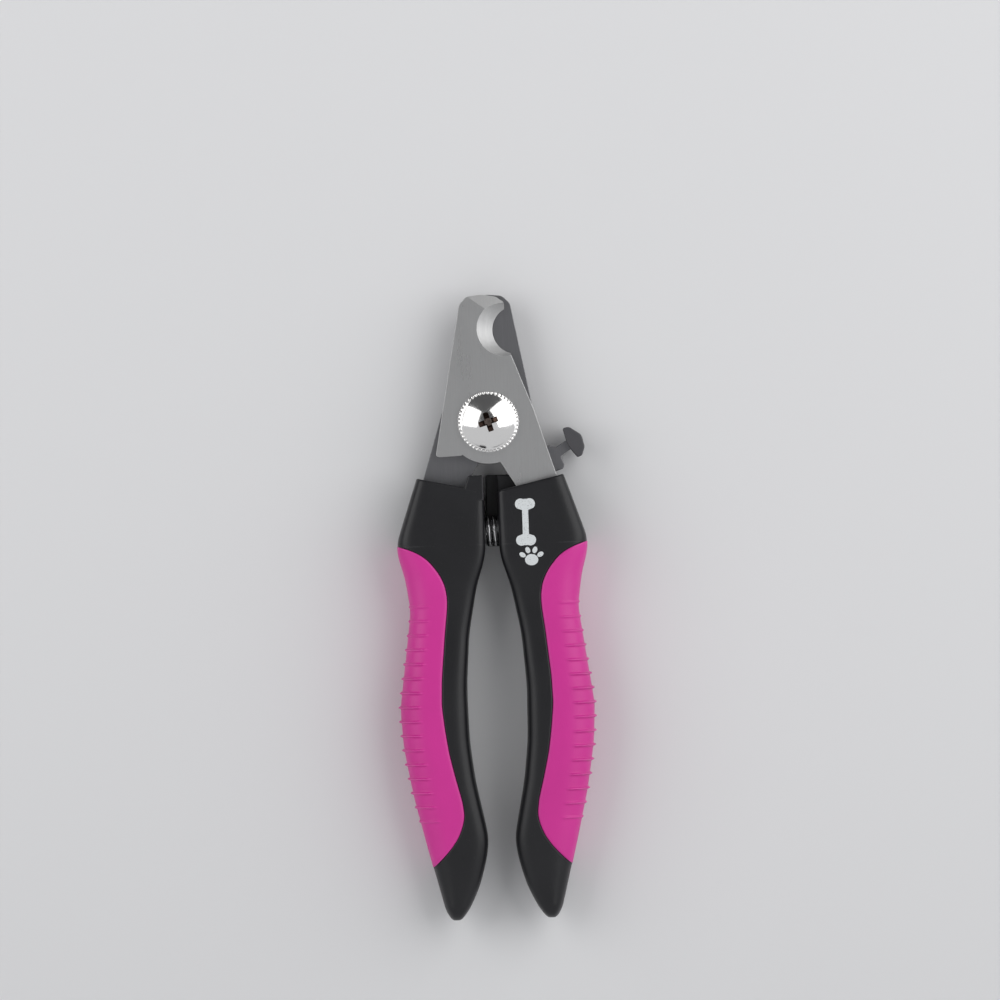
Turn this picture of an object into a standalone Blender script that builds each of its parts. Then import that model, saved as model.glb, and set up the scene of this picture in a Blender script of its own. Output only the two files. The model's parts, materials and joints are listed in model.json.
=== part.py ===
"""Pet nail trimmer, small size: two steel plates that cross at a screw pivot, as in pliers.

Each plate has a notched jaw at the top and a tang that is moulded into a hard black handle
with a soft pink grip. A coil spring between the collars opens the handles, and a small thumb
lever holds them shut. The model lies on its back: +Z is the front face, +Y points to the
jaws' tips, and the origin is the middle of the footprint, on the surface it rests on.

Both halves are the same design. Each is drawn in its own half frame, whose origin is the
pivot in the plane where the plates meet, with +x towards its handle and +z towards its own
plate. The left half is that frame turned half a turn about Y.
"""

import math

import bmesh
import bpy
import numpy as np
from mathutils import Matrix, Vector

MM = 0.001

# Driving dimensions, in millimetres.
GAP = 0.3                   # clearance between pieces that touch or slide
PIVOT_Y = 37.67             # pivot, ahead of the middle of the footprint
MID_HEIGHT = 6.5            # height of the plane where the two plates meet
PLATE = 2.1                 # thickness of a blade plate
SCREW_RADIUS = 2.5          # pivot screw's shank
SHANK_END = -6.15
SHANK_CHAMFER = 0.4
HEAD_RADIUS = 6.27          # pivot screw's domed head
HEAD_RIM = 1.5              # its rim, below the dome
HEAD_DOME = 2.1
RECESS_ARM = 1.9            # cross recess in the head
RECESS_HALF_WIDTH = 0.5
RECESS_DEPTH = 1.5
RECESS_TURN = 17            # in degrees
WASHER_RADIUS = 4.7         # conical washer behind the plates
WASHER_THICKNESS = 0.5
WASHER_CONE = 0.25          # how far its rim stands back
NUT_RADIUS = 4.45           # over the nut's corners
NUT_HEIGHT = 1.6
NUT_COLLAR_RADIUS = 3.85    # round collar that holds the nylon ring
NUT_COLLAR_END = -6.0
RING_SEAT_RADIUS = 3.5
RING_RADIUS = 3.2
RING_END = -5.9
NOTCH_RADIUS = 4.9          # half-round nail notch in each jaw
NOTCH_CENTRE = (6.35, 18.65)
HOLLOW_SHIFT = (-3.1, 0.3)  # how far the hollow grinding reaches back on the outer face
HOLLOW_REACH = 1.5          # length of its cutter, in terms of the plate above the edge
EDGE_LAND = 0.3             # height of the cutting edge left by the grinding
SPRING_Y = -22.2            # spring's axis, below the pivot
SPRING_COIL_RADIUS = 2.7
SPRING_WIRE_RADIUS = 0.45
SPRING_TURNS = 8
POCKET_DEPTH = 5.9          # floor of each spring pocket, from the middle plane
POCKET_ROOM = 0.5           # room round the spring in its pocket
LEVER_PIVOT = (11.6, -8.7)  # lock lever's rivet, in the right half
RIVET_RADIUS = 0.9
RIVET_DEPTH = 1.3           # how far the rivet goes into the front blade
RIVET_HEAD_RADIUS = 2.0
RIVET_HEAD = (0.5, 1.0, 1.1)  # heights of its rim, its bevel and its crown
RIVET_CROWN_RADIUS = 1.4
LEVER_WASHER_RADIUS = 2.1
LEVER_WASHER_THICKNESS = 0.4
LEVER_ROOM = 4.2            # radius of the room for the lever in the right collar
GRIP_WALL = 2.0             # thickness of the soft grip over the core's spine
HANDLE_TOP = -9.5
HANDLE_END = -101.4
TIP_ROUNDING = 2.6          # length over which the tip closes in
TIP_SCALE = 0.35            # size of its flat end
SPINE = (-27.8, -86.0)      # where the core runs on under the grip
GRIP_CAVITY = (-27.5, -86.3)
GRIP_SPAN = (-22.0, -95.0)
BEYOND = 26.0               # further out than any handle, for the cutters' outlines

LOW_FACE = GAP / 2          # inner face of a plate, in the half frame
HIGH_FACE = LOW_FACE + PLATE

# Plan of a handle in the half frame: (y, x) from the collar down to the tip.
OUTER_EDGE = [(-9, 14.35), (-11, 15.0), (-18, 17.3), (-23.5, 19.15), (-27, 19.2), (-31, 18.15),
              (-38, 17.1), (-48, 18.35), (-58, 19.7), (-66, 19.3), (-76, 17.6), (-87, 15.0),
              (-96, 12.75), (-101.4, 11.3)]
INNER_EDGE = [(-9, 1.38), (-18, 1.38), (-26, 1.4), (-29.1, 2.0), (-33, 3.4), (-43, 5.5),
              (-54, 6.4), (-65, 6.1), (-73, 5.1), (-80, 3.7), (-85, 2.75), (-89, 3.2),
              (-95, 4.9), (-101.4, 8.2)]
HALF_THICKNESS = [(-9, 6.5), (-26, 6.5), (-38, 6.0), (-58, 6.5), (-75, 5.9), (-90, 4.6),
                  (-101.4, 3.6)]
INNER_ROUNDING = [(-9, 0.8), (-26, 1.1), (-38, 2.2), (-101.4, 2.6)]
OUTER_ROUNDING = [(-9, 1.6), (-26, 3.2), (-40, 4.8), (-60, 5.2), (-85, 3.8), (-101.4, 2.6)]

# Heights along Y at which a handle's section is drawn.
HANDLE_STATIONS = [-14, -18, -21, -24, -26, -28, -30.5, -34, -38, -43, -48, -53, -58, -63, -68,
                   -72, -76, -80, -83.5, -87, -91, -95, -98.5, -100.0, -100.9]

# Seam between the black core and the pink grip on the front and back: (x, y).
GRIP_SEAM = [(22.0, -24.3), (19.0, -24.9), (14.7, -26.9), (11.5, -30.6), (9.9, -35.5),
             (10.1, -39.5), (11.0, -47.7), (11.6, -57.5), (10.6, -67.3), (8.4, -76.0),
             (7.9, -80.5), (8.9, -84.5), (11.4, -87.9), (14.2, -90.6), (17.0, -93.0)]

# Blank of a blade before its notch is cut, anticlockwise: (x, y, corner radius).
TANG = [(6.9, -18.0, 2.0), (7.2, -27.0, 3.0), (8.6, -38.0, 3.0), (10.4, -50.0, 1.0),
        (13.4, -50.0, 1.0), (12.9, -38.0, 3.0), (12.6, -26.0, 3.0), (14.3, -13.5, 1.5)]
TANG_ROOT = (5.2, -13.1, 0.0)
JAW = [(9.35, 2.35, 3.0), (5.05, 13.7, 0.0), (4.0, 23.0, 0.0), (4.0, 24.3, 1.0),
       (2.3, 25.5, 2.0), (-0.5, 26.0, 4.0), (-3.6, 25.7, 1.8), (-5.2, 24.1, 1.5)]
HEEL = [(-10.97, -6.9, 0.8), (-5.7, -6.7, 0.6)]
LOCK_HEEL = [(-10.4, -4.0, 0.3), (-9.2, -4.6, 0.6), (-8.3, -7.0, 0.5), (-5.7, -6.7, 0.6)]
PIVOT_BOSS = 8.5            # radius of the rounded edge under the pivot

# Lock lever's plate, closed: (x, y, corner radius). Its nose points up and to the left.
LEVER_PLATE = [(9.8, -6.2, 0.3), (9.55, -8.6, 1.6), (10.6, -10.9, 1.6), (13.0, -10.6, 0.6),
               (14.95, -10.0, 0.4), (15.25, -9.2, 0.5), (14.5, -7.5, 0.4), (17.4, -5.5, 0.3),
               (16.6, -3.7, 0.3), (13.6, -5.6, 0.5), (12.0, -5.1, 0.6)]
PAD = [(15.1, -1.75, 0.4), (16.4, -1.5, 1.2), (18.9, -3.2, 1.6), (19.5, -5.6, 1.4),
       (18.9, -7.4, 0.6), (18.0, -7.8, 0.4), (16.0, -5.2, 3.0)]
PAD_HALF_HEIGHT = 3.5

# Room above the collars: its floor slopes on the front, and leaves a lip round the spring's
# top on the back.
FRONT_SLOPE = [(BEYOND, -8.5), (15.0, -11.0), (1.0, -14.2), (-2.0, -14.2), (-2.0, -5.0),
               (BEYOND, -5.0)]
BACK_LIP = [(BEYOND, -8.5), (15.0, -11.0), (5.3, -13.2), (4.4, -10.8), (-2.0, -10.8),
            (-2.0, -5.0), (BEYOND, -5.0)]
SLOT_MOUTH = [(14.3, -9.0), (4.2, -9.0)]

# Stop on the right collar: a tongue at the back that the left collar closes onto.
STOP = [(-1.0, -25.4), (2.6, -25.4), (2.6, -10.8), (-1.0, -10.8)]
STOP_LOW = -6.4
STOP_HIGH = -3.7


def smooth(points, value):
    """Cubic curve through (position, value) points that never overshoots them."""
    points = sorted(points)
    xs = np.array([p[0] for p in points], dtype=float)
    ys = np.array([p[1] for p in points], dtype=float)
    steepness = np.diff(ys) / np.diff(xs)
    before = steepness[:-1]
    after = steepness[1:]
    inside = np.where(before * after > 0, 2 * before * after / (before + after + 1e-12), 0.0)
    slopes = np.concatenate([steepness[:1], inside, steepness[-1:]])
    i = int(np.clip(np.searchsorted(xs, value) - 1, 0, len(xs) - 2))
    span = xs[i + 1] - xs[i]
    t = (value - xs[i]) / span
    return ((1 + 2 * t) * (1 - t) ** 2 * ys[i] + t * (1 - t) ** 2 * span * slopes[i]
            + t * t * (3 - 2 * t) * ys[i + 1] + t * t * (t - 1) * span * slopes[i + 1])


def smooth_path(points, steps):
    """Plan curve through (x, y) points, with this many steps to each span."""
    keys = range(len(points))
    xs = [(k, p[0]) for k, p in zip(keys, points)]
    ys = [(k, p[1]) for k, p in zip(keys, points)]
    count = (len(points) - 1) * steps
    return [(smooth(xs, k / steps), smooth(ys, k / steps)) for k in range(count + 1)]


def rounded(outline, steps=4):
    """Closed outline of (x, y, radius) corners, each rounded with an arc."""
    path = []
    for i, (x, y, radius) in enumerate(outline):
        here = Vector((x, y))
        before = Vector(outline[i - 1][:2]) - here
        after = Vector(outline[(i + 1) % len(outline)][:2]) - here
        if radius == 0:
            path.append((x, y))
            continue
        half = before.angle(after) / 2
        reach = min(radius / math.tan(half), 0.45 * before.length, 0.45 * after.length)
        start = here + before.normalized() * reach
        end = here + after.normalized() * reach
        for k in range(steps + 1):
            t = k / steps
            path.append(tuple(start * (1 - t) ** 2 + here * 2 * t * (1 - t) + end * t * t))
    return path


def grown(outline, distance):
    """Straight-sided outline moved outwards; its corners run anticlockwise."""
    path = []
    for i, corner in enumerate(outline):
        here = Vector(corner[:2])
        before = (here - Vector(outline[i - 1][:2])).normalized()
        after = (Vector(outline[(i + 1) % len(outline)][:2]) - here).normalized()
        normals = [Vector((d.y, -d.x)) for d in (before, after)]
        middle = (normals[0] + normals[1]).normalized()
        path.append(tuple(here + middle * distance / middle.dot(normals[0])))
    return path


def material(name, colour, roughness, metallic):
    made = bpy.data.materials.new(name)
    made.use_nodes = True
    shader = made.node_tree.nodes["Principled BSDF"]
    shader.inputs["Base Color"].default_value = (*colour, 1.0)
    shader.inputs["Roughness"].default_value = roughness
    shader.inputs["Metallic"].default_value = metallic
    return made


def collection(name):
    made = bpy.data.collections.new(name)
    bpy.context.scene.collection.children.link(made)
    return made


def frame_empty(name, location, parent=None, rotation=(0.0, 0.0, 0.0)):
    """Empty that stands for a body; its place is in millimetres in its parent's frame."""
    made = bpy.data.objects.new(name, None)
    made.location = Vector(location) * MM
    made.rotation_euler = rotation
    made.parent = parent
    parts.objects.link(made)
    return made


def place(piece, name, finish, parent):
    """Name a finished shape as a piece of the trimmer and put it in its body's frame."""
    piece.name = name
    piece.data.name = name
    piece.data.materials.clear()
    piece.data.materials.append(finish)
    piece.parent = parent
    cutters.objects.unlink(piece)
    parts.objects.link(piece)
    piece.hide_render = False
    piece.display_type = "TEXTURED"
    return piece


def shape(name, mesh):
    """New working shape, kept with the cutters until it is placed."""
    made = bpy.data.objects.new(name, mesh)
    cutters.objects.link(made)
    made.hide_render = True
    made.display_type = "WIRE"
    return made


def as_mesh(curve_object):
    """Swap a curve object for the mesh it draws, with its caps welded on."""
    bpy.context.view_layer.update()
    evaluated = curve_object.evaluated_get(bpy.context.evaluated_depsgraph_get())
    mesh = bpy.data.meshes.new_from_object(evaluated)
    made = shape(curve_object.name, mesh)
    bm = bmesh.new()
    bm.from_mesh(mesh)
    bmesh.ops.remove_doubles(bm, verts=bm.verts, dist=1e-7)
    bm.to_mesh(mesh)
    bm.free()
    made.matrix_world = curve_object.matrix_world
    bpy.data.objects.remove(curve_object)
    return made


def plate(name, outline, low, high):
    """Flat outline extruded from one height to another."""
    curve = bpy.data.curves.new(name, "CURVE")
    curve.dimensions = "2D"
    curve.fill_mode = "BOTH"
    curve.extrude = (high - low) / 2 * MM
    spline = curve.splines.new("POLY")
    spline.points.add(len(outline) - 1)
    for point, (x, y) in zip(spline.points, outline):
        point.co = (x * MM, y * MM, 0.0, 1.0)
    spline.use_cyclic_u = True
    drawn = shape(name, curve)
    made = as_mesh(drawn)
    made.data.transform(Matrix.Translation((0, 0, (low + high) / 2 * MM)))
    return made


def cylinder(name, radius, low, high, centre=(0.0, 0.0), segments=48, top_shift=(0.0, 0.0)):
    """Upright cylinder; top_shift leans it over, so that it cuts a slanted face."""
    mesh = bpy.data.meshes.new(name)
    bm = bmesh.new()
    bmesh.ops.create_cone(bm, cap_ends=True, segments=segments, radius1=radius * MM,
                          radius2=radius * MM, depth=(high - low) * MM)
    for vertex in bm.verts:
        if vertex.co.z > 0:
            vertex.co += Vector((*top_shift, 0.0)) * MM
    bmesh.ops.translate(bm, verts=bm.verts, vec=Vector((*centre, (low + high) / 2)) * MM)
    bm.to_mesh(mesh)
    bm.free()
    return shape(name, mesh)


def turned(name, profile, segments=32):
    """Solid of revolution about Z from (radius, height) points, run top to bottom."""
    mesh = bpy.data.meshes.new(name)
    points = [(r * MM, 0.0, z * MM) for r, z in profile]
    closed = profile[0][0] > 0
    edges = [(i, i + 1) for i in range(len(points) - 1)]
    if closed:
        edges.append((len(points) - 1, 0))
    mesh.from_pydata(points, edges, [])
    drawn = shape(name, mesh)
    screw = drawn.modifiers.new("Turn", "SCREW")
    screw.steps = segments
    screw.render_steps = segments
    screw.use_merge_vertices = True
    screw.merge_threshold = 1e-6
    return drawn


def loft(name, sections):
    """Closed skin over rings of points, with a flat cap at each end."""
    mesh = bpy.data.meshes.new(name)
    bm = bmesh.new()
    rings = [[bm.verts.new(Vector(p) * MM) for p in section] for section in sections]
    count = len(rings[0])
    for lower, upper in zip(rings, rings[1:]):
        for i in range(count):
            j = (i + 1) % count
            bm.faces.new((lower[i], lower[j], upper[j], upper[i]))
    bm.faces.new(rings[0])
    bm.faces.new(rings[-1])
    bmesh.ops.recalc_face_normals(bm, faces=bm.faces)
    bm.to_mesh(mesh)
    bm.free()
    return shape(name, mesh)


def combine(piece, other, operation):
    """Boolean that stays on the piece as a modifier."""
    step = piece.modifiers.new(other.name, "BOOLEAN")
    step.operation = operation
    step.object = other
    other.parent = piece
    return piece


def shade(piece):
    """Smooth shading with edges over 35 degrees kept sharp."""
    piece.data.shade_smooth()
    piece.data.set_sharp_from_angle(angle=math.radians(35))


def handle_section(y, inset=0.0):
    """Rounded section of a handle across Y, pulled in all round by the inset."""
    rounding_off = min(1.0, max(0.0, (y - HANDLE_END) / TIP_ROUNDING))
    end_scale = TIP_SCALE + (1 - TIP_SCALE) * math.sqrt(1 - (1 - rounding_off) ** 2)
    middle = (smooth(INNER_EDGE, y) + smooth(OUTER_EDGE, y)) / 2
    half_width = (smooth(OUTER_EDGE, y) - smooth(INNER_EDGE, y)) / 2 * end_scale - inset
    half_height = smooth(HALF_THICKNESS, y) * end_scale - inset
    ring = []
    for side, rounding, steps in ((-1, INNER_ROUNDING, 3), (1, OUTER_ROUNDING, 5)):
        radius = min(smooth(rounding, y) * end_scale, 0.9 * half_height, 0.9 * half_width)
        radius = max(radius - inset, 0.3)
        for k in range(2 * steps + 2):
            corner = 1 if k > steps else -1
            turn = k - steps - 1 if k > steps else k
            angle = math.radians(90 * turn / steps + (0 if corner > 0 else -90))
            along = half_width - radius + radius * math.cos(angle)
            up = corner * (half_height - radius) + radius * math.sin(angle)
            ring.append((middle + side * along, y, side * up))
    return ring


def handle_body(name, top, bottom, inset=0.0):
    """Handle-shaped solid between two heights along Y."""
    stations = [y for y in HANDLE_STATIONS if bottom < y < top]
    return loft(name, [handle_section(y, inset) for y in [top, *stations, bottom]])


def blade(name, finish, parent, heel):
    """Jaw and tang in one plate, with the hollow-ground notch and the pivot hole."""
    start = math.atan2(heel[-1][1], heel[-1][0])
    boss = [(PIVOT_BOSS * math.cos(a), PIVOT_BOSS * math.sin(a), 0.0)
            for a in np.linspace(start, math.radians(-75), 9)]
    made = plate(name, rounded([*heel, *boss, TANG_ROOT, *TANG, *JAW]), LOW_FACE, HIGH_FACE)
    notch = cylinder(name + "_notch", NOTCH_RADIUS, -1.0, 4.0, NOTCH_CENTRE)
    edge = LOW_FACE + EDGE_LAND
    reach = HOLLOW_REACH * (HIGH_FACE - edge)
    hollow = cylinder(name + "_hollow", NOTCH_RADIUS, edge, edge + reach, NOTCH_CENTRE,
                      top_shift=[HOLLOW_REACH * shift for shift in HOLLOW_SHIFT])
    hole = cylinder(name + "_hole", SCREW_RADIUS + GAP, -1.0, 4.0)
    for cutter in (notch, hollow, hole):
        combine(made, cutter, "DIFFERENCE")
    return place(made, name, finish, parent)


def grip_region(name, shift):
    """Everything on the grip's side of the seam, as a block right through the handle."""
    seam = [(x + shift, y) for x, y in smooth_path(GRIP_SEAM, 3)]
    return plate(name, [*seam, (BEYOND, -93.0), (BEYOND, -24.0)], -8.0, 8.0)


def handle_core(name, finish, parent, with_lever):
    """Hard moulding: collar, tang slot, spring pocket, and the spine under the grip."""
    made = handle_body(name, HANDLE_TOP, HANDLE_END)
    combine(made, grip_region(name + "_grip_room", -GAP), "DIFFERENCE")
    combine(made, handle_body(name + "_spine", *SPINE, GRIP_WALL), "UNION")
    front = plate(name + "_front_slope", FRONT_SLOPE, 0.0, 10.0)
    back = plate(name + "_back_lip", BACK_LIP, -10.0, 0.001)
    slot = plate(name + "_slot", grown([*TANG, *SLOT_MOUTH], GAP), LOW_FACE - GAP,
                 HIGH_FACE + GAP)
    pocket = cylinder(name + "_pocket", SPRING_COIL_RADIUS + SPRING_WIRE_RADIUS + POCKET_ROOM,
                      -4.0, POCKET_DEPTH, segments=32)
    pocket.data.transform(Matrix.Translation((0, SPRING_Y * MM, 0))
                          @ Matrix.Rotation(math.pi / 2, 4, "Y"))
    cutters_here = [front, back, slot, pocket]
    if with_lever:
        combine(made, plate(name + "_stop", STOP, STOP_LOW, STOP_HIGH), "UNION")
        cutters_here.append(cylinder(name + "_lever_room", LEVER_ROOM, -HIGH_FACE - GAP,
                                     0.1, LEVER_PIVOT))
    for cutter in cutters_here:
        combine(made, cutter, "DIFFERENCE")
    return place(made, name, finish, parent)


def grip(name, finish, parent):
    """Soft shell that wraps the outer side of the core's spine."""
    made = handle_body(name, *GRIP_SPAN)
    combine(made, grip_region(name + "_seam", 0.0), "INTERSECT")
    cavity = handle_body(name + "_cavity", *GRIP_CAVITY, GRIP_WALL - GAP)
    combine(made, cavity, "DIFFERENCE")
    return place(made, name, finish, parent)


def pivot_hardware(parent):
    """Domed screw from the front; washer, nut and locking ring on the back."""
    seat = HIGH_FACE + GAP
    crown = seat + HEAD_RIM + HEAD_DOME
    profile = [(HEAD_RADIUS * math.sin(a), seat + HEAD_RIM + HEAD_DOME * math.cos(a))
               for a in np.linspace(0.0, math.pi / 2, 9)]
    profile[0] = (0.0, crown)
    profile += [(HEAD_RADIUS, seat), (SCREW_RADIUS, seat),
                (SCREW_RADIUS, SHANK_END + SHANK_CHAMFER),
                (SCREW_RADIUS - SHANK_CHAMFER, SHANK_END), (0.0, SHANK_END)]
    screw = turned("screw_blank", profile, 48)
    for turn in (0.0, math.pi / 2):
        slot = plate("recess", [(-RECESS_ARM, -RECESS_HALF_WIDTH), (RECESS_ARM, -RECESS_HALF_WIDTH),
                                (RECESS_ARM, RECESS_HALF_WIDTH), (-RECESS_ARM, RECESS_HALF_WIDTH)],
                     crown - RECESS_DEPTH, crown + 1.0)
        slot.data.transform(Matrix.Rotation(turn + math.radians(RECESS_TURN), 4, "Z"))
        combine(screw, slot, "DIFFERENCE")
    place(screw, "pivot_screw", chrome, parent)
    shade(screw)

    bore = SCREW_RADIUS + GAP
    top = -HIGH_FACE - GAP
    washer = turned("washer", [(bore, top), (WASHER_RADIUS, top - WASHER_CONE),
                               (WASHER_RADIUS, top - WASHER_CONE - WASHER_THICKNESS),
                               (bore, top - WASHER_THICKNESS)])
    place(washer, "spring_washer", spring_steel, parent)
    shade(washer)

    nut_top = top - WASHER_CONE - WASHER_THICKNESS - GAP
    nut_back = nut_top - NUT_HEIGHT
    hexagon = [(NUT_RADIUS * math.cos(a), NUT_RADIUS * math.sin(a))
               for a in np.linspace(0, 2 * math.pi, 7)[:-1]]
    nut = plate("nut", hexagon, nut_back, nut_top)
    collar = cylinder("nut_collar", NUT_COLLAR_RADIUS, NUT_COLLAR_END, nut_top - 1.0, segments=36)
    combine(nut, collar, "UNION")
    combine(nut, cylinder("nut_bore", bore, -9.0, 0.0, segments=32), "DIFFERENCE")
    combine(nut, cylinder("ring_seat", RING_SEAT_RADIUS, -9.0, nut_back, segments=32),
            "DIFFERENCE")
    place(nut, "pivot_nut", nickel, parent)
    ring = turned("ring", [(RING_RADIUS, nut_back - GAP), (RING_RADIUS, RING_END),
                           (bore, RING_END), (bore, nut_back - GAP)])
    place(ring, "nut_insert", nylon, parent)
    shade(ring)


def spring(parent):
    """Coil across the gap, with an end in each collar's pocket."""
    curve = bpy.data.curves.new("return_spring", "CURVE")
    curve.dimensions = "3D"
    curve.bevel_depth = SPRING_WIRE_RADIUS * MM
    curve.bevel_resolution = 2
    curve.use_fill_caps = True
    line = curve.splines.new("POLY")
    per_turn = 14
    count = SPRING_TURNS * per_turn + 1
    line.points.add(count - 1)
    reach = POCKET_DEPTH - GAP - SPRING_WIRE_RADIUS
    for i, point in enumerate(line.points):
        angle = 2 * math.pi * i / per_turn
        x = reach * (2 * i / (count - 1) - 1)
        y = SPRING_Y + SPRING_COIL_RADIUS * math.cos(angle)
        z = SPRING_COIL_RADIUS * math.sin(angle)
        point.co = (x * MM, y * MM, z * MM, 1.0)
    place(as_mesh(shape("return_spring", curve)), "return_spring", spring_steel, parent)


def lock_lever(half, swing):
    """Lever plate level with the rear blade, its thumb pad, rivet and washer."""
    back = -HIGH_FACE
    front = -LOW_FACE
    offset = Matrix.Translation((-LEVER_PIVOT[0] * MM, -LEVER_PIVOT[1] * MM, 0))
    lever = plate("lever", rounded(LEVER_PLATE), back, front)
    lever.data.transform(offset)
    combine(lever, cylinder("lever_hole", RIVET_RADIUS + GAP, -4.0, 1.0, segments=24), "DIFFERENCE")
    place(lever, "lock_lever", steel, swing)

    pad = plate("pad", rounded(PAD, 5), (back + front) / 2 - PAD_HALF_HEIGHT,
                (back + front) / 2 + PAD_HALF_HEIGHT)
    tongue = plate("tongue_room", grown(LEVER_PLATE, GAP), back - GAP, front + GAP)
    combine(pad, tongue, "DIFFERENCE")
    pad.data.transform(offset)
    tongue.data.transform(offset)
    place(pad, "lever_pad", pad_black, swing)

    bore = RIVET_RADIUS + GAP
    under = back - GAP - LEVER_WASHER_THICKNESS
    washer = turned("lever_washer", [(bore, back - GAP), (LEVER_WASHER_RADIUS, back - GAP),
                                     (LEVER_WASHER_RADIUS, under), (bore, under)], 28)
    washer.location = Vector((*LEVER_PIVOT, 0.0)) * MM
    place(washer, "lever_washer", spring_steel, half)
    shade(washer)

    tip = LOW_FACE + RIVET_DEPTH
    head = under - GAP
    rim, bevel, crown = (head - height for height in RIVET_HEAD)
    rivet = turned("rivet", [(0.0, tip), (RIVET_RADIUS, tip), (RIVET_RADIUS, head),
                             (RIVET_HEAD_RADIUS, head), (RIVET_HEAD_RADIUS, rim),
                             (RIVET_CROWN_RADIUS, bevel), (0.0, crown)], 28)
    rivet.location = Vector((*LEVER_PIVOT, 0.0)) * MM
    place(rivet, "lever_rivet", nickel, half)
    shade(rivet)


for old in list(bpy.data.objects):
    bpy.data.objects.remove(old)
parts = collection("pet_nail_trimmer")
cutters = collection("cutters")

steel = material("satin_steel", (0.55, 0.55, 0.55), 0.32, 1.0)
rear_steel = material("satin_steel_rear", (0.5, 0.5, 0.51), 0.35, 1.0)
chrome = material("polished_chrome", (0.8, 0.8, 0.8), 0.08, 1.0)
nickel = material("nickel_plate", (0.62, 0.6, 0.56), 0.25, 1.0)
spring_steel = material("spring_steel", (0.45, 0.45, 0.46), 0.3, 1.0)
nylon = material("white_nylon", (0.75, 0.75, 0.72), 0.5, 0.0)
core_black = material("black_plastic", (0.022, 0.023, 0.026), 0.45, 0.0)
pad_black = material("black_pad", (0.03, 0.03, 0.033), 0.5, 0.0)
grip_pink = material("pink_rubber", (0.58, 0.04, 0.29), 0.5, 0.0)

right_half = frame_empty("right_half", (0.0, PIVOT_Y, MID_HEIGHT))
left_half = frame_empty("left_half", (0.0, PIVOT_Y, MID_HEIGHT), rotation=(0.0, math.pi, 0.0))
lever_swing = frame_empty("lever_swing", (*LEVER_PIVOT, 0.0), right_half)

front_blade = blade("front_blade", steel, right_half, HEEL)
blade("rear_blade", rear_steel, left_half, LOCK_HEEL)
for side, half in (("right", right_half), ("left", left_half)):
    shade(handle_core(side + "_handle_core", core_black, half, side == "right"))
    shade(grip(side + "_grip", grip_pink, half))
pivot_hardware(right_half)
spring(right_half)
lock_lever(right_half, lever_swing)
rivet_seat = cylinder("rivet_seat", RIVET_RADIUS + GAP / 2, -1.0, LOW_FACE + RIVET_DEPTH + GAP,
                      LEVER_PIVOT, segments=20)
combine(front_blade, rivet_seat, "DIFFERENCE")
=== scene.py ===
import json
import math

import bmesh
import bpy
import numpy as np
from mathutils import Matrix, Vector


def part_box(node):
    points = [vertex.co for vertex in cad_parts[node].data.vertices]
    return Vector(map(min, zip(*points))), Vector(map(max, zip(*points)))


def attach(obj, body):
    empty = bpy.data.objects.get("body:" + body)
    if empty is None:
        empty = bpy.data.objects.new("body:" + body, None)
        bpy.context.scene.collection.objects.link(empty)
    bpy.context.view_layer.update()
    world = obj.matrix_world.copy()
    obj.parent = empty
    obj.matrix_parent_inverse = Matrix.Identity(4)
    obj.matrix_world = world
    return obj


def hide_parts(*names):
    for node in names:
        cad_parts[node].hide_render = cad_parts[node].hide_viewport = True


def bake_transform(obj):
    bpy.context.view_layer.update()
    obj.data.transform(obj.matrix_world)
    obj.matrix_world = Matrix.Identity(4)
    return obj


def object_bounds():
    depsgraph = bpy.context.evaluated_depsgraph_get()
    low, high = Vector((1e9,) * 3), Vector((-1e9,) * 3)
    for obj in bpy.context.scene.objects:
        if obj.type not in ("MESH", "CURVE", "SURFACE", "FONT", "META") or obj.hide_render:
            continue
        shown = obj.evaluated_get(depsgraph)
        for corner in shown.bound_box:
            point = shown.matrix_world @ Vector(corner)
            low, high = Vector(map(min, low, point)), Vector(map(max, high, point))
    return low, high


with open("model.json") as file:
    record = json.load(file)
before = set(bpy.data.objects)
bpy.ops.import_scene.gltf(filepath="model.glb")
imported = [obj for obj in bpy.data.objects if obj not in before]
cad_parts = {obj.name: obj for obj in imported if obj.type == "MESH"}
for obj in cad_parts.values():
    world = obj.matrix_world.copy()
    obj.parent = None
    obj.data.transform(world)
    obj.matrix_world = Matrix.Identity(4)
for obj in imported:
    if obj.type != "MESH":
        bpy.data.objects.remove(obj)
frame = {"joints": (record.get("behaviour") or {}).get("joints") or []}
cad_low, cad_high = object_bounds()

# ---------------------------------------------------------------------------------------
# Camera. It looks straight down on the front of the closed tool from far off, through a
# long lens, and the tool lies turned a little anticlockwise in the picture.
# ---------------------------------------------------------------------------------------
MM = 0.001
joint_place = {joint["name"]: Vector(joint["pos_m"]) for joint in frame["joints"]}
pivot = joint_place["handle_pivot"]

camera_height = 1.5
picture_width = 0.2041
tool_turn = math.radians(1.9)
aim = pivot + Vector((1.87, -15.97, 0.0)) * MM

camera = bpy.data.objects.new("camera", bpy.data.cameras.new("camera"))
camera.data.sensor_width = 36.0
camera.data.lens = camera.data.sensor_width * camera_height / picture_width
camera.location = aim + Vector((0.0, 0.0, camera_height))
camera.rotation_euler = (0.0, 0.0, -tool_turn)
bpy.context.scene.collection.objects.link(camera)
bpy.context.scene.camera = camera
bpy.context.scene.view_settings.view_transform = "Standard"

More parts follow.
